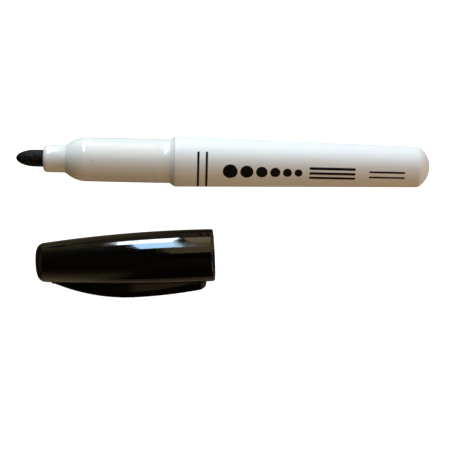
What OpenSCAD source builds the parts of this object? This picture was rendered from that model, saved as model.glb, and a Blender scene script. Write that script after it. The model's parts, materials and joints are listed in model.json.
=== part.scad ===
// A bullet-tip whiteboard marker lying uncapped on a table, with its cap beside it.
// The table is the plane z = 0 and the origin is the middle of the layout on it.
// The nib points along -X and the tail along +X.
// Every turned outline is a list of [radius, distance along the axis] points.

/* [Barrel] */
// Diameter of the barrel at its front rim
barrel_rim_d = 15.2; // [15.1:0.1:15.4]
// Diameter of the barrel where the tail starts to round
barrel_tail_d = 12.4; // [12.3:0.1:12.8]
// Length from the front rim to the end of the tail
barrel_len = 76.6; // [76:0.1:90]
// Radius of the ball shape of the tail end
tail_ball_r = 7.3; // [7:0.05:8]
// Radius that blends the barrel's side into the tail end
tail_blend_r = 2; // [1.5:0.1:2.5]
// Thickness of the barrel's wall
barrel_wall = 1.2; // [1.1:0.05:1.2]

/* [Front section] */
// Diameter of the seat that the cap pushes onto
seat_d = 13.2; // [13.1:0.05:13.3]
// Distance from the barrel's rim forward to the start of the shoulder
seat_len = 26.3; // [26:0.1:27.5]
// Radius of the round shoulder
shoulder_r = 9.3; // [9:0.1:9.5]
// Diameter of the nozzle round the nib
nozzle_d = 8.3; // [8.1:0.1:8.4]
// Distance from the barrel's rim to the front of the nozzle
nozzle_reach = 39.2; // [38.5:0.1:40]
// Length of the spigot inside the barrel
spigot_len = 10; // [8:0.5:12]

/* [Nib and ink store] */
// Diameter of the nib
nib_d = 5.15; // [5:0.05:5.3]
// Length of nib that shows in front of the nozzle
nib_show = 8.25; // [7.5:0.05:8.5]
// Length over which the nib's tip rounds off
nib_round = 6; // [5:0.1:6.5]
// Diameter of the fibre ink store without its film
store_d = 9.6; // [9:0.1:9.6]
// Thickness of the film round the ink store
film_t = 0.1; // [0.05:0.05:0.1]

/* [Cap] */
// Length of the cap
cap_len = 53.5; // [53:0.1:55]
// Largest diameter of the cap
cap_d = 15.9; // [15.8:0.1:16]
// Distance from the mouth back to the largest diameter
cap_crest = 11; // [10:0.5:12]
// Radius of the cap's slightly bowed side
cap_bow_r = 392; // [385:1:420]
// Radius of the corner at the closed end
cap_corner_r = 2.1; // [1.8:0.1:2.4]
// Gap all round between the seat and the cap's bore
cap_fit = 0.08; // [0.06:0.01:0.1]

/* [Clip] */
// Distance from the mouth back to the clip's crest
clip_crest = 24.2; // [23.8:0.1:25]
// Distance from the cap's axis to the clip's crest
clip_reach = 11.85; // [11.8:0.05:12]
// Radius of the clip's outer edge between root and crest
clip_root_r = 50; // [49:1:52]
// Radius of the clip's outer edge between crest and tip
clip_tip_r = 140; // [130:1:150]
// Thickness of the clip's strap
clip_t = 1.9; // [1.7:0.1:1.9]
// Width of the clip at its root
clip_root_w = 6.2; // [5.8:0.1:6.4]
// Width of the clip at its tip
clip_tip_w = 4.6; // [4:0.1:5]

/* [Layout on the table] */
// Distance from the barrel's rim along X to the cap's mouth
cap_ahead = 12.4; // [8:0.1:16]
// Distance across the table from the barrel's axis to the cap's mouth
cap_beside = 27.8; // [27:0.1:34]
// Angle between the cap and the barrel, seen from above
cap_yaw = 3.83; // [0:0.01:5]
// Roll of the cap that lays its clip on the table
cap_roll = 25.3; // [24:0.1:25.3]

/* [Hidden] */
facets = 96;

// Barrel
rim_r = barrel_rim_d / 2;
tail_r = barrel_tail_d / 2;
taper_len = 71.4;
taper = (rim_r - tail_r) / taper_len;
lean = atan(taper);
rim_edge = 0.15;
spigot_r = 6.2;
spigot_bore_r = spigot_r + 0.03;
spigot_chamfer = 0.3;
store_end = 67.5;
barrel_floor = 72.8;
rib_t = 1;
rib_inner_r = 2.5;
rib_overlap = 0.2;
spigot_gap = 0.2;
ball_overlap = 3;

// Front section
seat_r = seat_d / 2;
nozzle_r = nozzle_d / 2;
nozzle_edge = 1.2;
shoulder_turn = acos(1 - (seat_r - nozzle_r) / shoulder_r);
groove_front = 4.5;
groove_back = 2.9;
groove_depth = 0.04;
flare_start = 1.3;
flare_end = 0.15;
flare_r = rim_r - 0.15;
store_r = store_d / 2;
film_r = store_r + film_t;
store_bore_r = film_r + 0.1;
store_front = 23;
throat_r = 4.4;
throat_front = 28;
nib_r = nib_d / 2;
nib_bore_r = nib_r + 0.02;
nib_bore_back = 30;

// Nib
nib_tip = nozzle_reach + nib_show;
stem_r = 2;
stem_end = 15;
stem_point = 1.5;
collar_len = 1.4;
collar_slope = 1;
stem_gap_r = 0.05;
stem_gap_end = 0.2;

// Cap, measured back from its mouth
cap_r = cap_d / 2;
cap_bore_r = seat_r + cap_fit;
mouth_flare = 1.5;
mouth_r = 7.15;
mouth_edge = 0.3;
bore_end = 27.2;
pocket_start = 32.4;
pocket_r = 5.1;
pocket_end = 51.6;
end_rise = 0.3;
seal_start = 33;
seal_r = pocket_r - 0.05;
seal_grip_r = nozzle_r + 0.05;
seal_grip_end = 39.4;
seal_tip_r = 3.4;
seal_end = 50.4;
seal_lead = 0.3;
seal_lead_len = 0.5;
seal_step = 0.8;
seal_corner = 1;

// Clip, measured back from the cap's mouth
clip_end = 2.75;
clip_pad_start = 5.5;
pad_gap = 0.15;
clip_hinge = 41;
hinge_gap = 0.07;
clip_root = 49;
root_depth = 5.7;
root_slope = 0.6;
root_overlap = 0.1;
hinge_r = clip_t / 2;
pad_edge = 0.2;
pad_slope = 0.05;
pad_run = 1.5;
tip_round = 1.5;

// Where the cap's bowed side touches the table, measured back from the mouth
touch = 25.5;
rock = atan((touch - cap_crest) / cap_bow_r);

// Middle of the layout, seen from above
rim_x = -14.57;
rim_y = 16.91;

function barrel_r(x) = rim_r - taper * x;
function cap_side(x) = cap_r - pow(x - cap_crest, 2) / (2 * cap_bow_r);
function arc_radius(x) = x > clip_crest ? clip_root_r : clip_tip_r;
function clip_outer(x) =
    clip_reach - arc_radius(x) + sqrt(pow(arc_radius(x), 2) - pow(x - clip_crest, 2));
function clip_inner(x) = clip_outer(x) - clip_t;
function clip_half_w(x) =
    (clip_tip_w + (clip_root_w - clip_tip_w) * (x - clip_end) / (clip_hinge - clip_end)) / 2;
function steps(from, to, count) = [for (i = [0:count]) from + (to - from) * i / count];
// Points on an arc about [centre_r, centre_x]; an angle of 0 points away from the axis
function arc(centre_r, centre_x, radius, from, to, count) = [
    for (a = steps(from, to, count))
        [centre_r + radius * cos(a), centre_x + radius * sin(a)]
];
// Radius of the nib at a distance behind its tip
function nib_radius(d) = nib_r * sqrt(1 - pow(1 - d / nib_round, 2));

// Distance from the cap's axis to the middle of the clip's round inner end
hinge_d = clip_outer(clip_hinge) - hinge_r;

// Turns an outline into a solid round the X axis
module turned(outline) {
    rotate([0, 90, 0])
        rotate_extrude($fn = facets)
            polygon(outline);
}

// Puts the marker's own pieces on the table, resting on the rim and the tail
module lay_marker() {
    translate([rim_x, rim_y, rim_r * cos(lean)])
        rotate([0, lean, 0])
            children();
}

// Puts the cap's own pieces on the table, resting on its side and on the clip
module lay_cap() {
    touch_height = cap_side(touch) * cos(rock);
    translate([rim_x + cap_ahead, rim_y - cap_beside, touch_height + touch * sin(rock)])
        rotate([0, 0, cap_yaw])
            rotate([cap_roll, -rock, 0])
                children();
}

module barrel_body() {
    spigot_end = spigot_len + spigot_gap;
    ball_x = barrel_len - tail_ball_r;
    wall_r = barrel_r(ball_x + ball_overlap);
    blend_r = wall_r - tail_blend_r;
    blend_x = ball_x + sqrt(pow(tail_ball_r - tail_blend_r, 2) - pow(blend_r, 2));
    blend_turn = atan2(blend_x - ball_x, blend_r);
    turned(concat(
        [[spigot_bore_r, 0], [rim_r - rim_edge, 0], [rim_r, rim_edge]],
        arc(blend_r, blend_x, tail_blend_r, 0, blend_turn, 5),
        arc(0, ball_x, tail_ball_r, blend_turn, 90, 8),
        [
            [0, barrel_floor],
            [barrel_r(barrel_floor) - barrel_wall, barrel_floor],
            [barrel_r(spigot_end) - barrel_wall, spigot_end],
            [spigot_bore_r, spigot_end]
        ]
    ));
}

module tail_ribs() {
    rib_h = barrel_r(barrel_floor) - barrel_wall + rib_overlap - rib_inner_r;
    for (turn = [0:90:270])
        rotate([turn, 0, 0])
            translate([store_end, -rib_t / 2, rib_inner_r])
                cube([barrel_floor - store_end + rib_overlap, rib_t, rib_h]);
}

module barrel() {
    color("white")
        lay_marker() {
            barrel_body();
            tail_ribs();
        }
}

module front_section() {
    shoulder_centre = seat_r - shoulder_r;
    color("ghostwhite")
        lay_marker()
            turned(concat(
                [[nib_bore_r, -nozzle_reach]],
                arc(nozzle_r - nozzle_edge, nozzle_edge - nozzle_reach, nozzle_edge, -90, 0, 4),
                arc(shoulder_centre, -seat_len, shoulder_r, -shoulder_turn, 0, 10),
                [
                    [seat_r, -groove_front],
                    [seat_r - groove_depth, -groove_front + groove_depth],
                    [seat_r - groove_depth, -groove_back - groove_depth],
                    [seat_r, -groove_back],
                    [seat_r, -flare_start],
                    [flare_r, -flare_end],
                    [flare_r, 0],
                    [spigot_r, 0],
                    [spigot_r, spigot_len - spigot_chamfer],
                    [spigot_r - spigot_chamfer, spigot_len],
                    [store_bore_r, spigot_len],
                    [store_bore_r, -store_front],
                    [throat_r, -store_front],
                    [throat_r, -throat_front],
                    [nib_bore_r, -nib_bore_back]
                ]
            ));
}

module nib() {
    color("black")
        lay_marker()
            turned(concat(
                [for (d = steps(0, nib_round, 12)) [nib_radius(d), d - nib_tip]],
                [
                    [nib_r, -store_front - collar_len],
                    [stem_r, -store_front - collar_len + collar_slope],
                    [stem_r, -stem_end - stem_point],
                    [0, -stem_end]
                ]
            ));
}

module ink_store() {
    hole_r = stem_r + stem_gap_r;
    color("dimgray")
        lay_marker()
            turned([
                [hole_r, -store_front],
                [store_r, -store_front],
                [store_r, store_end],
                [0, store_end],
                [0, -stem_end + stem_gap_end],
                [hole_r, -stem_end - stem_point + stem_gap_end]
            ]);
}

module store_film() {
    color("lightsteelblue")
        lay_marker()
            turned([
                [store_r, -store_front],
                [film_r, -store_front],
                [film_r, store_end],
                [store_r, store_end]
            ]);
}

module cap_body() {
    corner_x = cap_len - end_rise - cap_corner_r;
    side_r = cap_side(corner_x);
    flat_r = side_r - cap_corner_r;
    turned(concat(
        [[mouth_r, 0], [cap_side(0) - mouth_edge, 0]],
        [for (x = steps(mouth_edge, corner_x, 14)) [cap_side(x), -x]],
        arc(flat_r, -corner_x, cap_corner_r, -15, -90, 5),
        [for (r = steps(flat_r * 0.7, 0, 3)) [r, end_rise * pow(r / flat_r, 2) - cap_len]],
        [
            [0, -pocket_end],
            [pocket_r, -pocket_end],
            [pocket_r, -pocket_start],
            [cap_bore_r, -bore_end],
            [cap_bore_r, -mouth_flare]
        ]
    ));
}

// The clip's width between two distances from the mouth, drawn flat
module clip_plan(from, to) {
    linear_extrude(height = 4 * clip_reach, center = true)
        polygon([
            [-from, clip_half_w(from)],
            [-to, clip_half_w(to)],
            [-to, -clip_half_w(to)],
            [-from, -clip_half_w(from)]
        ]);
}

// A piece of the clip: its side outline, cut to the width seen from above
module clip_piece(outline, from, to) {
    intersection() {
        linear_extrude(height = 2 * clip_root_w, center = true)
            polygon([for (p = outline) [-p[0], -p[1]]]);
        rotate([90, 0, 0])
            clip_plan(from, to);
    }
}

// The fixed root of the clip, with a round seat for the strap's end
module clip_root_block() {
    difference() {
        clip_piece(
            concat(
                [for (x = steps(clip_hinge, clip_root, 8)) [x, clip_outer(x)]],
                [[clip_root, root_depth - root_slope], [clip_hinge, root_depth]]
            ),
            clip_hinge - clip_t, clip_root
        );
        translate([-clip_hinge, -hinge_d, 0])
            cylinder(h = 2 * clip_root_w, r = hinge_r + hinge_gap, center = true, $fn = facets);
    }
}

module cap_shell() {
    color("black")
        lay_cap()
            union() {
                cap_body();
                difference() {
                    clip_root_block();
                    rotate([0, -90, 0])
                        cylinder(h = pocket_end, r = root_depth - root_overlap, $fn = facets);
                }
            }
}

module cap_seal() {
    color("gainsboro")
        lay_cap()
            turned([
                [seal_grip_r + seal_lead, -seal_start],
                [seal_r, -seal_start],
                [seal_r, -pocket_end],
                [0, -pocket_end],
                [0, -seal_end],
                [seal_tip_r, -seal_end + seal_corner],
                [seal_tip_r, -seal_grip_end - seal_step],
                [seal_grip_r, -seal_grip_end],
                [seal_grip_r, -seal_start - seal_lead_len]
            ]);
}

// The springy strap of the clip, from its round inner end to its tip
module clip() {
    pad_d = cap_side(clip_end) + pad_gap;
    color("black")
        lay_cap()
            union() {
                clip_piece(
                    concat(
                        [for (x = steps(clip_hinge, clip_end + tip_round, 20)) [x, clip_outer(x)]],
                        [
                            [clip_end, clip_outer(clip_end) - tip_round],
                            [clip_end, pad_d + pad_edge],
                            [clip_end + pad_edge, pad_d],
                            [clip_pad_start - pad_run, pad_d + pad_slope]
                        ],
                        [for (x = steps(clip_pad_start, clip_hinge, 16)) [x, clip_inner(x)]]
                    ),
                    clip_end, clip_hinge
                );
                translate([-clip_hinge, -hinge_d, 0])
                    cylinder(h = clip_root_w, r = hinge_r, center = true, $fn = facets);
            }
}

barrel();
front_section();
nib();
ink_store();
store_film();
cap_shell();
cap_seal();
clip();
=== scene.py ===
"""Whiteboard marker lying uncapped with its cap beside it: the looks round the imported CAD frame.

Shapes are worked out in millimetres in two local frames, then placed in the row's frame in metres.
The marker's frame has its origin at the centre of the barrel's front rim, with X towards the tail.
The cap's frame has its origin at the centre of the cap's mouth, with X out of the mouth and the clip on -Y.
"""
import json
import math

import bmesh
import bpy
from mathutils import Matrix, Vector


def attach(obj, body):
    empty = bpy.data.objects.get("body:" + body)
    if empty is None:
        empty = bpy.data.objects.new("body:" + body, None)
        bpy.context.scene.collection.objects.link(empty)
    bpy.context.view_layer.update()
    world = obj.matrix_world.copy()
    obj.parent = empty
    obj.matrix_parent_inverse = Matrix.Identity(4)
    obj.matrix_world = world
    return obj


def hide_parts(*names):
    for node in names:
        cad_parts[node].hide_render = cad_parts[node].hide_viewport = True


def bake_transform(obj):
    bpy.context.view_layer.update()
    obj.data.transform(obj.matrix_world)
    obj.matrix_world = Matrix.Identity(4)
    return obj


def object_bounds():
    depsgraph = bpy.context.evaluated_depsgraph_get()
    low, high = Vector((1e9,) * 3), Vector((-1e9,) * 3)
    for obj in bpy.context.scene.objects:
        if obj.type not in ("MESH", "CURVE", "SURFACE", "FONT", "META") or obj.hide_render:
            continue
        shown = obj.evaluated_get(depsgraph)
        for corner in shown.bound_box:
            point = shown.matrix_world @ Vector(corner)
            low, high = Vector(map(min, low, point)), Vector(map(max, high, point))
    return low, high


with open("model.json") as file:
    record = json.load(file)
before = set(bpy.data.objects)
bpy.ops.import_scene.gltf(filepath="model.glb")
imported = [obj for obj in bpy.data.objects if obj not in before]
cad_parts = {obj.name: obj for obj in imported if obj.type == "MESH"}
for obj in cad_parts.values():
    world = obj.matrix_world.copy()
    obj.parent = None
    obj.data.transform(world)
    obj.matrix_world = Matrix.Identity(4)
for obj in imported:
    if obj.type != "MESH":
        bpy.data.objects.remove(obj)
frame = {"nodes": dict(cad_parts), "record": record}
cad_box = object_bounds()

MM = 0.001
AROUND = 160

# ---------------------------------------------------------------- sizes, in millimetres

# Barrel
RIM_R = 7.6
TAIL_R = 6.2
TAPER_LEN = 71.4
BARREL_LEN = 76.6
TAIL_BALL_R = 7.3
TAIL_BLEND_R = 2.0
WALL = 1.2
RIM_EDGE_R = 0.22
SPIGOT_BORE_R = 6.23
SPIGOT_BORE_LEN = 10.2
BARREL_FLOOR = 72.8
GATE_R = 1.1
GATE_DEPTH = 0.15

# Front section
SEAT_R = 6.6
SEAT_LEN = 26.3
SEAT_PLAIN_START = 24.0
SEAT_PLAIN_END = 5.0
SHOULDER_R = 9.3
SHOULDER_FOOT = 0.25
NOZZLE_R = 4.15
NOZZLE_REACH = 39.2
NOZZLE_EDGE = 1.2
NOZZLE_LIP = 0.25
SPIGOT_R = 6.2
SPIGOT_LEN = 10.0
SPIGOT_EDGE = 0.3
STORE_BORE_R = 5.0
STORE_STOP = 23.0
AIR_GAP_R = 4.4
AIR_GAP_END = 28.0
NIB_BORE_START = 30.0
NIB_CLEARANCE = 0.03

# Nib
NIB_R = 2.575
NIB_TIP = 47.45
NIB_ROUND = 6.0
NIB_SHOULDER = 24.4
NIB_STEM_R = 2.0
NIB_STEM_START = 23.4
NIB_STEM_END = 16.5
NIB_STEM_POINT = 15.0

# Cap, measured back from its mouth
CAP_LEN = 53.5
CAP_R = 7.95
CAP_CREST = 11.0
CAP_BOW_R = 392.0
CAP_CORNER_R = 2.5
END_RISE = 0.3
CAP_BORE_R = 6.68
MOUTH_R = 7.15
MOUTH_FLARE = 1.5
MOUTH_INNER_EDGE = 0.12
MOUTH_OUTER_EDGE = 0.45
BORE_END = 27.2
POCKET_START = 32.4
POCKET_R = 5.1
POCKET_END = 51.6

# Seal, measured back from the cap's mouth
SEAL_R = 5.05
SEAL_LIP_R = 4.2
SEAL_BORE_R = 3.4
SEAL_START = 33.0
SEAL_STEP = 39.4
SEAL_FLOOR = 50.4
SEAL_END = 51.6
SEAL_AROUND = 96

# Clip, measured back from the cap's mouth
CLIP_CREST = 24.2
CLIP_REACH = 11.85
CLIP_ROOT_R = 50.0
CLIP_TIP_R = 140.0
CLIP_T = 1.9
CLIP_ROOT_W = 6.2
CLIP_TIP_W = 4.6
CLIP_END = 2.75
CLIP_END_ROUND = 2.2
CLIP_END_DROP = 1.4
CLIP_END_NARROWING = 0.7
CLIP_EDGE_R = 0.3
CLIP_CROWN = 0.1
CLIP_HINGE = 41.0
CLIP_ROOT = 49.0
PAD_GAP = 0.15
PAD_FADE_START = 3.8
PAD_FADE_LEN = 2.6
ROOT_DEPTH = 5.6
ROOT_FADE_START = 41.2
ROOT_FADE_LEN = 1.6

# Distances of two of the record's mounts from the origins of the two local frames
SEAT_MIDDLE = 13.8
MOUTH_MIDDLE = 14.35


# ---------------------------------------------------------------- places

def unit(values):
    return Vector(values).normalized()


def frame_matrix(origin, x_axis, up):
    """A local frame in millimetres, placed in the row's frame in metres."""
    y_axis = up.cross(x_axis).normalized()
    z_axis = x_axis.cross(y_axis)
    turn = Matrix((x_axis, y_axis, z_axis)).transposed().to_4x4()
    return Matrix.Translation(origin) @ turn @ Matrix.Scale(MM, 4)


mounts = {m["name"]: m for m in frame["record"]["mounts"]}
joints = {j["name"]: j for j in frame["record"]["behaviour"]["joints"]}

marker_x = -unit(mounts["cap_seat"]["axis"])
rim_centre = Vector(mounts["cap_seat"]["pos_m"]) + marker_x * SEAT_MIDDLE * MM
MARKER = frame_matrix(rim_centre, marker_x, Vector((0, 0, 1)))

cap_x = unit(mounts["cap_mouth"]["axis"])
mouth_centre = Vector(mounts["cap_mouth"]["pos_m"]) + cap_x * MOUTH_MIDDLE * MM
CAP = frame_matrix(mouth_centre, cap_x, -unit(joints["clip_flex"]["axis"]))


# ---------------------------------------------------------------- outlines

def steps(start, end, count):
    return [start + (end - start) * i / count for i in range(count + 1)]


def arc(centre_r, centre_x, radius, start, end, count):
    """Points [radius, distance] on an arc. An angle of 0 points away from the axis, 90 along it."""
    points = []
    for angle in steps(math.radians(start), math.radians(end), count):
        points.append((centre_r + radius * math.cos(angle), centre_x + radius * math.sin(angle)))
    return points


def barrel_r(x):
    return RIM_R - (RIM_R - TAIL_R) / TAPER_LEN * x


def cap_side(x):
    return CAP_R - (x - CAP_CREST) ** 2 / (2 * CAP_BOW_R)


def clip_outer(x):
    radius = CLIP_ROOT_R if x > CLIP_CREST else CLIP_TIP_R
    return CLIP_REACH - radius + math.sqrt(radius ** 2 - (x - CLIP_CREST) ** 2)


def smooth(t):
    t = min(max(t, 0.0), 1.0)
    return t * t * (3 - 2 * t)


# ---------------------------------------------------------------- mesh helpers

SHARP_TURN = math.radians(35)


def finish_mesh(name, bm, matrix, material, body, replaces=()):
    """Turns a bmesh in a local frame into a smooth-shaded piece that rides on a body, if one is named."""
    bmesh.ops.recalc_face_normals(bm, faces=bm.faces)
    for face in bm.faces:
        face.smooth = True
    for edge in bm.edges:
        edge.smooth = edge.is_manifold and edge.calc_face_angle(0) < SHARP_TURN
    mesh = bpy.data.meshes.new(name)
    bm.transform(matrix)
    bm.to_mesh(mesh)
    bm.free()
    piece = bpy.data.objects.new(name, mesh)
    bpy.context.scene.collection.objects.link(piece)
    mesh.materials.append(material)
    if body:
        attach(piece, body)
    if replaces:
        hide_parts(*replaces)
    return piece


def lathe(outline, around=AROUND):
    """A closed solid turned about the X axis from a closed outline of [radius, distance] points."""
    bm = bmesh.new()
    rings = []
    for radius, x in outline:
        if radius < 1e-6:
            rings.append([bm.verts.new((x, 0, 0))])
            continue
        ring = []
        for i in range(around):
            turn = 2 * math.pi * i / around
            ring.append(bm.verts.new((x, radius * math.cos(turn), radius * math.sin(turn))))
        rings.append(ring)
    closed = len(rings[0]) > 1 or len(rings[-1]) > 1
    pairs = list(zip(rings, rings[1:]))
    if closed:
        pairs.append((rings[-1], rings[0]))
    for ring_a, ring_b in pairs:
        for i in range(around):
            j = (i + 1) % around
            corners = [ring_a[i % len(ring_a)], ring_a[j % len(ring_a)]]
            corners += [ring_b[j % len(ring_b)], ring_b[i % len(ring_b)]]
            corners = list(dict.fromkeys(corners))
            if len(corners) > 2:
                bm.faces.new(corners)
    return bm


def loft(rings):
    """A closed solid through rings of the same number of points, with flat ends."""
    bm = bmesh.new()
    loops = [[bm.verts.new(point) for point in ring] for ring in rings]
    count = len(loops[0])
    for ring_a, ring_b in zip(loops, loops[1:]):
        for i in range(count):
            j = (i + 1) % count
            bm.faces.new((ring_a[i], ring_a[j], ring_b[j], ring_b[i]))
    bm.faces.new(loops[0])
    bm.faces.new(loops[-1])
    return bm


# ---------------------------------------------------------------- materials

class Shader:
    """A node material whose mottle, grain and specks are worked out from the object's own coordinates."""

    def __init__(self, name, colour, roughness, specular=0.5):
        self.material = bpy.data.materials.new(name)
        self.material.use_nodes = True
        self.tree = self.material.node_tree
        self.base = self.tree.nodes["Principled BSDF"]
        self.base.inputs["Base Color"].default_value = (*colour, 1)
        self.base.inputs["Roughness"].default_value = roughness
        self.base.inputs["Specular IOR Level"].default_value = specular
        self.place = self.tree.nodes.new("ShaderNodeTexCoord").outputs["Object"]

    def set(self, **values):
        for name, value in values.items():
            self.base.inputs[name.replace("_", " ")].default_value = value

    def along(self, matrix, stretch):
        """Coordinates in millimetres in a local frame, squeezed along its X by stretch."""
        node = self.tree.nodes.new("ShaderNodeMapping")
        inverse = Matrix.Diagonal((1 / stretch, 1, 1, 1)) @ matrix.inverted()
        place, turn, size = inverse.decompose()
        node.inputs["Location"].default_value = place
        node.inputs["Rotation"].default_value = turn.to_euler()
        node.inputs["Scale"].default_value = size
        self.tree.links.new(self.place, node.inputs["Vector"])
        return node.outputs["Vector"]

    def noise(self, scale, detail=3.0, vector=None):
        node = self.tree.nodes.new("ShaderNodeTexNoise")
        node.inputs["Scale"].default_value = scale
        node.inputs["Detail"].default_value = detail
        self.tree.links.new(vector or self.place, node.inputs["Vector"])
        return node.outputs["Fac"]

    def spots(self, scale, size):
        """1 inside small round spots scattered over the surface, 0 elsewhere."""
        node = self.tree.nodes.new("ShaderNodeTexVoronoi")
        node.inputs["Scale"].default_value = scale
        self.tree.links.new(self.place, node.inputs["Vector"])
        return self.ramp(node.outputs["Distance"], size, size * 0.6)

    def ramp(self, value, low, high, to_low=0.0, to_high=1.0):
        """value, stretched so that low becomes to_low and high becomes to_high."""
        node = self.tree.nodes.new("ShaderNodeMapRange")
        node.interpolation_type = "SMOOTHSTEP"
        ends = {"From Min": low, "From Max": high, "To Min": to_low, "To Max": to_high}
        for name, end in ends.items():
            node.inputs[name].default_value = end
        self.tree.links.new(value, node.inputs["Value"])
        return node.outputs["Result"]

    def tint(self, mask, colour):
        """Paints a colour over the base where the mask is 1."""
        node = self.tree.nodes.new("ShaderNodeMix")
        node.data_type = "RGBA"
        socket = self.base.inputs["Base Color"]
        if socket.is_linked:
            self.tree.links.new(socket.links[0].from_socket, node.inputs["A"])
        else:
            node.inputs["A"].default_value = socket.default_value
        node.inputs["B"].default_value = (*colour, 1)
        self.tree.links.new(mask, node.inputs["Factor"])
        self.tree.links.new(node.outputs["Result"], socket)

    def rough(self, value):
        self.tree.links.new(value, self.base.inputs["Roughness"])

    def bump(self, height, depth):
        """Adds relief of a depth in metres to what there is already."""
        node = self.tree.nodes.new("ShaderNodeBump")
        node.inputs["Distance"].default_value = depth
        socket = self.base.inputs["Normal"]
        if socket.is_linked:
            self.tree.links.new(socket.links[0].from_socket, node.inputs["Normal"])
        self.tree.links.new(height, node.inputs["Height"])
        self.tree.links.new(node.outputs["Normal"], socket)


def barrel_plastic():
    s = Shader("barrel_plastic", (0.87, 0.87, 0.86), 0.42, 0.4)
    s.set(Subsurface_Weight=0.04, Subsurface_Scale=0.0008)
    s.rough(s.ramp(s.noise(260, 4), 0.3, 0.7, 0.36, 0.5))
    s.tint(s.ramp(s.noise(90, 2), 0.45, 0.75, 0.0, 0.25), (0.83, 0.82, 0.8))
    s.tint(s.spots(420, 0.045), (0.45, 0.42, 0.38))
    s.bump(s.noise(2600, 3), 0.000012)
    s.bump(s.noise(1.2, 2, s.along(MARKER, 14.0)), 0.00001)
    return s.material


def front_plastic():
    s = Shader("front_plastic", (0.87, 0.86, 0.835), 0.1, 0.5)
    s.set(Subsurface_Weight=0.05, Subsurface_Scale=0.001)
    s.rough(s.ramp(s.noise(180, 4), 0.3, 0.7, 0.06, 0.15))
    s.tint(s.spots(330, 0.05), (0.3, 0.27, 0.24))
    s.bump(s.noise(1500, 2), 0.000004)
    s.bump(s.noise(0.8, 2, s.along(MARKER, 20.0)), 0.00001)
    return s.material


def nib_fibre():
    s = Shader("nib_fibre", (0.002, 0.002, 0.0022), 0.45, 0.16)
    strands = s.noise(9.0, 4, s.along(MARKER, 12.0))
    s.rough(s.ramp(strands, 0.3, 0.7, 0.5, 0.75))
    s.tint(s.ramp(strands, 0.55, 0.8, 0.0, 0.4), (0.02, 0.021, 0.023))
    s.tint(s.ramp(s.noise(1900, 3), 0.52, 0.7, 0.0, 0.8), (0.045, 0.046, 0.048))
    s.bump(strands, 0.00005)
    s.bump(s.noise(1900, 4), 0.00009)
    return s.material


def cap_plastic(name, gloss, specular):
    s = Shader(name, (0.0015, 0.0015, 0.0015), gloss, specular)
    s.rough(s.ramp(s.noise(220, 5), 0.35, 0.75, gloss * 0.6, gloss * 1.8))
    scratches = s.ramp(s.noise(3.0, 6, s.along(CAP, 25.0)), 0.62, 0.72)
    s.tint(s.spots(520, 0.04), (0.09, 0.085, 0.08))
    s.bump(scratches, 0.000002)
    s.bump(s.noise(60, 2), 0.00001)
    return s.material


def seal_plastic():
    s = Shader("seal_plastic", (0.72, 0.72, 0.69), 0.4, 0.4)
    s.set(Subsurface_Weight=0.3, Subsurface_Scale=0.001)
    s.rough(s.ramp(s.noise(400, 3), 0.3, 0.7, 0.32, 0.5))
    s.bump(s.noise(900, 2), 0.00001)
    return s.material


def print_ink():
    s = Shader("print_ink", (0.004, 0.004, 0.005), 0.42, 0.12)
    s.rough(s.ramp(s.noise(900, 3), 0.3, 0.7, 0.32, 0.55))
    s.tint(s.ramp(s.noise(1400, 3), 0.62, 0.8, 0.0, 0.3), (0.03, 0.03, 0.03))
    s.bump(s.noise(2600, 3), 0.00001)
    return s.material


def store_fibre():
    s = Shader("store_fibre", (0.03, 0.03, 0.034), 0.85, 0.2)
    strands = s.noise(6.0, 4, s.along(MARKER, 15.0))
    s.tint(s.ramp(strands, 0.4, 0.7, 0.0, 0.6), (0.08, 0.08, 0.09))
    s.bump(strands, 0.0001)
    return s.material


def store_film():
    s = Shader("store_film", (0.75, 0.78, 0.8), 0.15, 0.5)
    s.set(Alpha=0.4)
    s.rough(s.ramp(s.noise(300, 3), 0.3, 0.7, 0.1, 0.25))
    s.bump(s.noise(500, 2), 0.00002)
    return s.material


def floor_paper():
    s = Shader("floor_paper", (0.9, 0.9, 0.9), 0.9, 0.1)
    s.set(Emission_Color=(1, 1, 1, 1), Emission_Strength=1.0)
    s.bump(s.noise(700, 4), 0.00003)
    return s.material


# ---------------------------------------------------------------- the marker

def make_barrel():
    """The tube ends in a ball, with a small arc between the two and a gate mark at the pole."""
    ball_x = BARREL_LEN - TAIL_BALL_R
    blend_r = barrel_r(ball_x + 3) - TAIL_BLEND_R
    blend_x = ball_x + math.sqrt((TAIL_BALL_R - TAIL_BLEND_R) ** 2 - blend_r ** 2)
    blend_turn = math.degrees(math.atan2(blend_x - ball_x, blend_r))
    gate_turn = math.degrees(math.acos(GATE_R / TAIL_BALL_R))
    outline = [(SPIGOT_BORE_R, 0.0)]
    outline += arc(RIM_R - RIM_EDGE_R, RIM_EDGE_R, RIM_EDGE_R, -90, 0, 5)
    outline += [(barrel_r(x), x) for x in steps(2.0, blend_x - 0.6, 20)]
    outline += arc(blend_r, blend_x, TAIL_BLEND_R, 0, blend_turn, 12)
    outline += arc(0, ball_x, TAIL_BALL_R, blend_turn + 2, gate_turn, 16)
    outline += [
        (GATE_R - 0.08, BARREL_LEN - GATE_DEPTH * 0.6),
        (GATE_R - 0.2, BARREL_LEN - GATE_DEPTH - 0.04),
        (0.35, BARREL_LEN - GATE_DEPTH - 0.02),
        (0.2, BARREL_LEN - GATE_DEPTH + 0.1),
        (0.0, BARREL_LEN - GATE_DEPTH + 0.12),
        (0.0, BARREL_FLOOR),
        (barrel_r(BARREL_FLOOR) - WALL, BARREL_FLOOR),
        (barrel_r(SPIGOT_BORE_LEN) - WALL, SPIGOT_BORE_LEN),
        (SPIGOT_BORE_R, SPIGOT_BORE_LEN),
    ]
    finish_mesh("barrel_tube", lathe(outline), MARKER, barrel_plastic(), "marker",
                ["barrel"])


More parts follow.
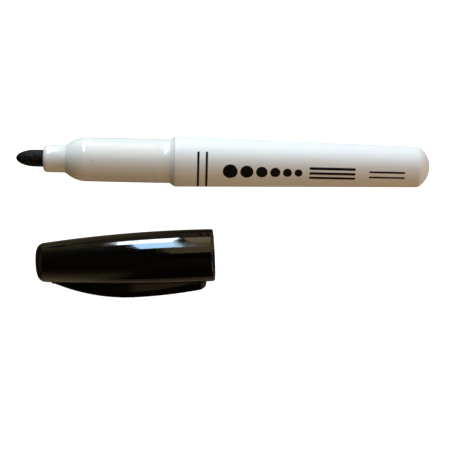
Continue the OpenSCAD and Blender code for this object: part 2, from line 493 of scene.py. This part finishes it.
def make_front_section():
    """From the nozzle over the round shoulder and the seat to the rim, then back along the inside.
    The snap groove and the flare are pairs of depth or rise from the seat and distance from the rim."""
    shoulder_turn = math.degrees(math.acos(1 - (SEAT_R - NOZZLE_R) / SHOULDER_R))
    shoulder_len = SHOULDER_R * math.sin(math.radians(shoulder_turn))
    snap_groove = [(0.0, -4.62), (0.035, -4.46), (0.04, -4.3), (0.04, -3.1), (0.03, -2.96), (0.0, -2.84)]
    flare = [(0.0, -1.6), (0.01, -1.4), (0.07, -1.24), (0.74, -0.34), (0.82, -0.24)]
    flare += [(0.82, -0.14), (0.6, 0.0)]
    outline = [(NIB_R + NOZZLE_LIP, -NOZZLE_REACH)]
    outline += arc(NOZZLE_R - NOZZLE_EDGE, NOZZLE_EDGE - NOZZLE_REACH, NOZZLE_EDGE, -90, 0, 10)
    outline += [(NOZZLE_R, -SEAT_LEN - shoulder_len - SHOULDER_FOOT)]
    outline += arc(SEAT_R - SHOULDER_R, -SEAT_LEN, SHOULDER_R, -shoulder_turn + 1.5, 0, 24)
    outline += [(SEAT_R, x) for x in steps(-SEAT_PLAIN_START, -SEAT_PLAIN_END, 10)]
    outline += [(SEAT_R - depth, x) for depth, x in snap_groove]
    outline += [(SEAT_R + rise, x) for rise, x in flare]
    outline += [
        (SPIGOT_R, 0.0),
        (SPIGOT_R, SPIGOT_LEN - SPIGOT_EDGE),
        (SPIGOT_R - SPIGOT_EDGE, SPIGOT_LEN),
        (STORE_BORE_R, SPIGOT_LEN),
        (STORE_BORE_R, -STORE_STOP),
        (AIR_GAP_R, -STORE_STOP),
        (AIR_GAP_R, -AIR_GAP_END),
        (NIB_R + NIB_CLEARANCE, -NIB_BORE_START),
        (NIB_R + NIB_CLEARANCE, NOZZLE_LIP - NOZZLE_REACH),
    ]
    finish_mesh("front_section_shell", lathe(outline), MARKER, front_plastic(), "marker",
                ["front_section"])


def nib_radius(d):
    """Radius at a distance from the tip."""
    return NIB_R * (1 - (1 - min(d / NIB_ROUND, 1)) ** 2) ** 0.5


def make_nib():
    """A blunt bullet, with its rows closest together at the tip."""
    outline = [(0.0, -NIB_TIP)]
    outline += [(nib_radius(d), d - NIB_TIP) for d in (0.01, 0.03, 0.07, 0.13, 0.22, 0.35)]
    outline += [(nib_radius(d), d - NIB_TIP) for d in steps(0.5, NIB_ROUND, 26)]
    outline += [
        (NIB_R, -NIB_SHOULDER),
        (NIB_STEM_R, -NIB_STEM_START),
        (NIB_STEM_R, -NIB_STEM_END),
        (0.0, -NIB_STEM_POINT),
    ]
    finish_mesh("nib_rod", lathe(outline), MARKER, nib_fibre(), "marker", ["nib"])


# ---------------------------------------------------------------- the cap

def make_cap_body():
    """The bowed outside from the mouth to the closed end, then back along the pocket and the bore.
    The snap groove is pairs of depth into the bore's wall and distance from the mouth."""
    snap_groove = [(0.0, -3.3), (0.02, -3.0), (0.02, -2.3), (0.0, -2.0)]
    corner_x = CAP_LEN - END_RISE - CAP_CORNER_R
    flat_r = cap_side(corner_x) - CAP_CORNER_R
    outline = [(MOUTH_R, -0.05)]
    outline += arc(MOUTH_R + MOUTH_INNER_EDGE, -MOUTH_INNER_EDGE, MOUTH_INNER_EDGE, 180, 90, 4)
    outline += arc(cap_side(0) - MOUTH_OUTER_EDGE, -MOUTH_OUTER_EDGE, MOUTH_OUTER_EDGE, 90, 0, 7)
    outline += [(cap_side(x), -x) for x in steps(1.0, corner_x, 48)]
    outline += arc(flat_r, -corner_x, CAP_CORNER_R, -8, -90, 14)
    outline += [(r, END_RISE * (r / flat_r) ** 2 - CAP_LEN) for r in steps(flat_r * 0.85, 0, 8)]
    outline += [
        (0.0, -POCKET_END),
        (POCKET_R, -POCKET_END),
        (POCKET_R, -POCKET_START),
        (CAP_BORE_R, -BORE_END),
    ]
    outline += [(CAP_BORE_R + depth, x) for depth, x in snap_groove]
    outline.append((CAP_BORE_R, -MOUTH_FLARE))
    finish_mesh("cap_body", lathe(outline), CAP, cap_plastic("cap_plastic", 0.06, 0.48), "cap",
                ["cap_shell"])


def make_seal():
    """A cup that opens towards the mouth, with a wide lip and a narrower bore behind it."""
    outline = [
        (SEAL_LIP_R + 0.3, -SEAL_START - 0.1),
        (SEAL_LIP_R + 0.42, -SEAL_START),
        (SEAL_R - 0.12, -SEAL_START),
        (SEAL_R, -SEAL_START - 0.12),
        (SEAL_R, -SEAL_END),
        (0.0, -SEAL_END),
        (0.0, -SEAL_FLOOR),
        (SEAL_BORE_R - 0.3, -SEAL_FLOOR),
        (SEAL_BORE_R, 0.3 - SEAL_FLOOR),
        (SEAL_BORE_R, -SEAL_STEP - 0.8),
        (SEAL_LIP_R, -SEAL_STEP),
        (SEAL_LIP_R, -SEAL_START - 0.6),
    ]
    finish_mesh("seal_cup", lathe(outline, SEAL_AROUND), CAP, seal_plastic(), "cap",
                ["cap_seal"])


def clip_half_width(x):
    share = (x - CLIP_END) / (CLIP_HINGE - CLIP_END)
    return (CLIP_TIP_W + (CLIP_ROOT_W - CLIP_TIP_W) * share) / 2


def clip_inner(x):
    """Distance from the axis to the clip's inner face, which is buried in the cap at the root."""
    strap = clip_outer(x) - CLIP_T
    pad = cap_side(CLIP_END) + PAD_GAP
    value = pad + (strap - pad) * smooth((x - PAD_FADE_START) / PAD_FADE_LEN)
    return value + (ROOT_DEPTH - value) * smooth((x - ROOT_FADE_START) / ROOT_FADE_LEN)


def clip_ring(x, outer, inner, half_w):
    """A section across the clip, with two rounded edges and a slightly crowned outer face."""
    points = [(-x, -inner, half_w)]
    corner = min(CLIP_EDGE_R, (outer - inner) * 0.48, half_w * 0.9)
    for side, start in ((1, 0), (-1, 90)):
        for angle in steps(start, start + 90, 6):
            a = math.radians(angle)
            z = side * (half_w - corner) + corner * math.cos(a)
            crown = CLIP_CROWN * (1 - (z / half_w) ** 2)
            points.append((-x, -(outer - corner + corner * math.sin(a) + crown), z))
    points.append((-x, -inner, -half_w))
    return points


def make_clip():
    """Sections from the rounded tip to the root, blended between the cap and its own body at the hinge."""
    rings = []
    for turn in steps(0, 84, 11):
        back = math.cos(math.radians(turn))
        drop = CLIP_END_DROP * (1 - math.sqrt(1 - back ** 2))
        x = CLIP_END + CLIP_END_ROUND * (1 - back)
        half_w = clip_half_width(x) - CLIP_END_NARROWING * drop
        rings.append(clip_ring(x, clip_outer(x) - drop, clip_inner(x), half_w))
    for x in steps(CLIP_END + CLIP_END_ROUND + 0.3, CLIP_ROOT, 112):
        rings.append(clip_ring(x, clip_outer(x), clip_inner(x), clip_half_width(x)))
    piece = finish_mesh("clip_strap", loft(rings), CAP, cap_plastic("clip_plastic", 0.12, 0.2), None,
                        ["clip"])
    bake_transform(piece)


# ---------------------------------------------------------------- plain printing on the barrel

INK_LIFT = 0.012
INK_SINK = 0.04
INK_SPACING = 0.22

# Two lines part of the way round, near the rim
RIM_LINES_X = (7.1, 9.6)
RIM_LINE_START = -2.6
RIM_LINE_END = 14.0
RIM_LINE_W = 0.66

# A row of dots that get smaller towards the tail
DOTS = 6
DOTS_START = 14.4
DOTS_LEVEL = 3.0
DOT_SIZE = 4.4
DOT_SHRINK = 0.88
DOT_GAP = 0.8

# Plain stripes behind the dots and near the tail, each with its start, end, level and width
STRIPES = [
    (40.5, 53.5, 1.5, 0.8),
    (40.5, 53.5, 3.0, 0.8),
    (40.5, 53.5, 4.5, 0.8),
    (58.2, 68.4, 2.2, 0.6),
    (58.2, 68.4, 3.9, 0.6),
]


def on_barrel(x, s, lift):
    """A point on the barrel, x from the rim and s round the side from its top line towards -Y."""
    radius = barrel_r(x)
    turn = s / radius
    return (x, -(radius + lift) * math.sin(turn), (radius + lift) * math.cos(turn))


def ribbon(bm, path, widths, across):
    """A thin slab of ink along a path of (x, s) points that bends with the barrel, in strips across."""
    loops = []
    for i, (x, s) in enumerate(path):
        back = path[max(i - 1, 0)]
        ahead = path[min(i + 1, len(path) - 1)]
        step = Vector((ahead[0] - back[0], ahead[1] - back[1])).normalized()
        offsets = [widths[i] * (j / across - 0.5) for j in range(across + 1)]
        top = [on_barrel(x - step.y * o, s + step.x * o, INK_LIFT) for o in offsets]
        low = [on_barrel(x - step.y * o, s + step.x * o, -INK_SINK) for o in reversed(offsets)]
        loops.append([bm.verts.new(point) for point in top + low])
    ring = len(loops[0])
    bm.faces.new(loops[0])
    bm.faces.new(loops[-1])
    for loop_a, loop_b in zip(loops, loops[1:]):
        for i in range(ring):
            j = (i + 1) % ring
            bm.faces.new((loop_a[i], loop_a[j], loop_b[j], loop_b[i]))


def line(bm, start, end, width):
    """A straight stroke with round ends, from one (x, s) point to another."""
    start, end = Vector(start), Vector(end)
    way = (end - start).normalized()
    count = max(4, int((end - start).length / INK_SPACING))
    points = [start.lerp(end, i / count) for i in range(count + 1)]
    widths = [width] * len(points)
    for share in (0.2, 0.5, 0.8, 0.98):
        end_width = width * math.sqrt(1 - share ** 2)
        points = [start - way * share * width / 2] + points + [end + way * share * width / 2]
        widths = [end_width] + widths + [end_width]
    ribbon(bm, [tuple(point) for point in points], widths, 4)


def dot(bm, x, s, size):
    """A round spot, built as a ribbon as wide as the spot is at each place."""
    shares = [-math.cos(math.radians(turn)) for turn in steps(3, 177, 30)]
    path = [(x + size / 2 * share, s) for share in shares]
    ribbon(bm, path, [size * math.sqrt(1 - share ** 2) for share in shares], 16)


def make_rim_lines(ink):
    """Two thin lines running part of the way round the barrel near its rim."""
    bm = bmesh.new()
    for x in RIM_LINES_X:
        line(bm, (x, RIM_LINE_START), (x, RIM_LINE_END), RIM_LINE_W)
    finish_mesh("print_rim_lines", bm, MARKER, ink, "marker")


def make_dots(ink):
    """A row of dots along the barrel."""
    bm = bmesh.new()
    x = DOTS_START
    for i in range(DOTS):
        size = DOT_SIZE * DOT_SHRINK ** i
        dot(bm, x + size / 2, DOTS_LEVEL, size)
        x += size + DOT_GAP
    finish_mesh("print_dots", bm, MARKER, ink, "marker")


def make_stripes(ink):
    """Plain stripes along the barrel."""
    bm = bmesh.new()
    for start, end, level, width in STRIPES:
        line(bm, (start, level), (end, level), width)
    finish_mesh("print_stripes", bm, MARKER, ink, "marker")


# ---------------------------------------------------------------- stage

FLAT_R = 1.0
COVE_R = 0.35
WALL_TOP = 1.4
FLOOR_AROUND = 96
FLOOR_GAP = 0.00002
PANEL_REACH = 0.7
TARGET_Z = 0.008


def make_floor():
    """A pale floor that curves up into a wall all round. It is only looked at and shades nothing."""
    profile = [(0.2, 0.0), (0.5, 0.0)]
    profile += [(r, COVE_R - z) for r, z in arc(FLAT_R, 0, COVE_R, 90, 0, 12)]
    profile.append((FLAT_R + COVE_R, WALL_TOP))
    turns = [2 * math.pi * i / FLOOR_AROUND for i in range(FLOOR_AROUND)]
    bm = bmesh.new()
    rings = []
    for radius, z in profile:
        rings.append([bm.verts.new((radius * math.cos(a), radius * math.sin(a), z)) for a in turns])
    bm.faces.new(rings[0])
    for ring_a, ring_b in zip(rings, rings[1:]):
        for i in range(FLOOR_AROUND):
            j = (i + 1) % FLOOR_AROUND
            bm.faces.new((ring_a[i], ring_a[j], ring_b[j], ring_b[i]))
    place = Matrix.Translation((0, 0, min(cad_box[0][2], 0.0) - FLOOR_GAP))
    floor = finish_mesh("floor", bm, place, floor_paper(), None)
    floor.visible_diffuse = False
    floor.visible_glossy = False
    floor.visible_transmission = False
    floor.visible_shadow = False


def panel(name, side, low, high, width, radiance, colour, lean=0.0):
    """A soft panel that faces the marker. side is its angle from +Y towards +X, seen from above,
    low and high are the heights of its edges, also as angles, and lean turns it in its own plane."""
    tall = 2 * PANEL_REACH * math.tan(math.radians(high - low) / 2)
    light = bpy.data.lights.new(name, "AREA")
    light.shape = "RECTANGLE"
    light.size = width
    light.size_y = tall
    light.energy = radiance * 4 * math.pi * width * tall
    light.color = colour
    lamp = bpy.data.objects.new(name, light)
    bpy.context.scene.collection.objects.link(lamp)
    turn, rise = math.radians(side), math.radians((low + high) / 2)
    away = Vector((math.sin(turn) * math.cos(rise), math.cos(turn) * math.cos(rise), math.sin(rise)))
    facing = away.to_track_quat("Z", "Y").to_matrix() @ Matrix.Rotation(math.radians(lean), 3, "Z")
    place = away * PANEL_REACH + Vector((0, 0, TARGET_Z))
    lamp.matrix_world = Matrix.Translation(place) @ facing.to_4x4()
    lamp.visible_camera = False


def make_lights():
    """A two-part window and the warm wall round it on the far side, and the room on the near side."""
    panel("window_low", -12.6, -9, 22, 0.092, 8.2, (0.8, 0.9, 0.98), -6)
    panel("window_high", -14.5, 22, 48, 0.072, 6.1, (0.44, 0.7, 0.98), -6)
    panel("wall_low", -3, -4, 30, 0.12, 0.55, (1.0, 0.84, 0.5))
    panel("wall_middle", -5, 30, 50, 0.15, 0.36, (1.0, 0.78, 0.42))
    panel("wall_high", -7, 50, 76, 0.17, 0.26, (1.0, 0.74, 0.38))
    panel("window_far", 62, 8, 45, 0.45, 0.38, (1.0, 0.94, 0.84))
    panel("room_near", 140, 4, 54, 0.5, 0.3, (1.0, 0.58, 0.22))
    panel("table_near", 180, -52, -17, 0.6, 0.06, (1.0, 0.7, 0.45))


def height_ramp(world, height, stops):
    """Colours by the height of a direction, from 0 straight down to 1 straight up."""
    ramp = world.node_tree.nodes.new("ShaderNodeValToRGB")
    world.node_tree.links.new(height, ramp.inputs["Fac"])
    elements = ramp.color_ramp.elements
    elements[0].position, elements[0].color = stops[0][0], (*stops[0][1], 1)
    elements[1].position, elements[1].color = stops[-1][0], (*stops[-1][1], 1)
    for position, colour in stops[1:-1]:
        elements.new(position).color = (*colour, 1)
    return ramp.outputs["Color"]


def make_world():
    """A dim room in four zones along X: a brown left end, a brown stretch, a dark middle and a paler
    right end. Each later zone has the two values of X between which it takes over from the one before."""
    left_end = [
        (0.0, (0.05, 0.035, 0.02)), (0.6, (0.08, 0.06, 0.035)), (0.75, (0.2, 0.15, 0.08)),
        (0.88, (0.26, 0.19, 0.11)), (1.0, (0.12, 0.09, 0.05)),
    ]
    brown_stretch = [
        (0.0, (0.2, 0.15, 0.08)), (0.22, (0.2, 0.16, 0.09)), (0.41, (0.44, 0.37, 0.2)),
        (0.63, (0.25, 0.2, 0.09)), (0.75, (0.08, 0.065, 0.035)), (0.88, (0.03, 0.02, 0.01)),
    ]
    dark_middle = [
        (0.0, (0.14, 0.1, 0.05)), (0.2, (0.02, 0.014, 0.008)), (0.75, (0.02, 0.014, 0.008)),
        (0.985, (0.07, 0.05, 0.03)), (0.996, (0.0, 0.0, 0.0)), (1.0, (0.0, 0.0, 0.0)),
    ]
    right_end = [
        (0.0, (0.2, 0.185, 0.17)), (0.45, (0.3, 0.29, 0.29)), (0.58, (0.35, 0.35, 0.36)),
        (0.85, (0.26, 0.25, 0.26)), (1.0, (0.11, 0.1, 0.1)),
    ]
    world = bpy.data.worlds.new("studio")
    world.use_nodes = True
    bpy.context.scene.world = world
    nodes = world.node_tree.nodes
    links = world.node_tree.links
    split = nodes.new("ShaderNodeSeparateXYZ")
    links.new(nodes.new("ShaderNodeTexCoord").outputs["Generated"], split.inputs["Vector"])
    height = nodes.new("ShaderNodeMapRange")
    height.inputs["From Min"].default_value = -1
    links.new(split.outputs["Z"], height.inputs["Value"])
    colour = height_ramp(world, height.outputs["Result"], left_end)
    later_zones = [(-0.5, -0.36, brown_stretch), (-0.14, -0.07, dark_middle), (0.36, 0.5, right_end)]
    for low, high, stops in later_zones:
        share = nodes.new("ShaderNodeMapRange")
        share.interpolation_type = "SMOOTHSTEP"
        share.inputs["From Min"].default_value = low
        share.inputs["From Max"].default_value = high
        links.new(split.outputs["X"], share.inputs["Value"])
        blend = nodes.new("ShaderNodeMix")
        blend.data_type = "RGBA"
        links.new(share.outputs["Result"], blend.inputs["Factor"])
        links.new(colour, blend.inputs["A"])
        links.new(height_ramp(world, height.outputs["Result"], stops), blend.inputs["B"])
        colour = blend.outputs["Result"]
    links.new(colour, nodes["Background"].inputs["Color"])


VIEW_WIDTH = 0.135
VIEW_DISTANCE = 0.5
VIEW_LEVEL = 0.0075
VIEW_TURN = math.radians(1.265)
VIEW_CENTRE = (15.54, -18.77, 0)


def make_camera():
    """Looks straight down. The view's centre is in the marker's frame, and its width is at its level."""
    camera = bpy.data.cameras.new("camera")
    camera.sensor_width = 36
    camera.lens = camera.sensor_width * VIEW_DISTANCE / VIEW_WIDTH
    eye = bpy.data.objects.new("camera", camera)
    bpy.context.scene.collection.objects.link(eye)
    centre = MARKER @ Vector(VIEW_CENTRE)
    eye.location = (centre.x, centre.y, VIEW_LEVEL + VIEW_DISTANCE)
    eye.rotation_euler = (0, 0, VIEW_TURN)
    bpy.context.scene.camera = eye


make_barrel()
make_front_section()
make_nib()
make_cap_body()
make_seal()
make_clip()
ink = print_ink()
make_rim_lines(ink)
make_dots(ink)
make_stripes(ink)
frame["nodes"]["ink_store"].material_slots[0].material = store_fibre()
frame["nodes"]["store_film"].material_slots[0].material = store_film()
make_floor()
make_lights()
make_world()
make_camera()
bpy.context.scene.view_settings.view_transform = "Standard"
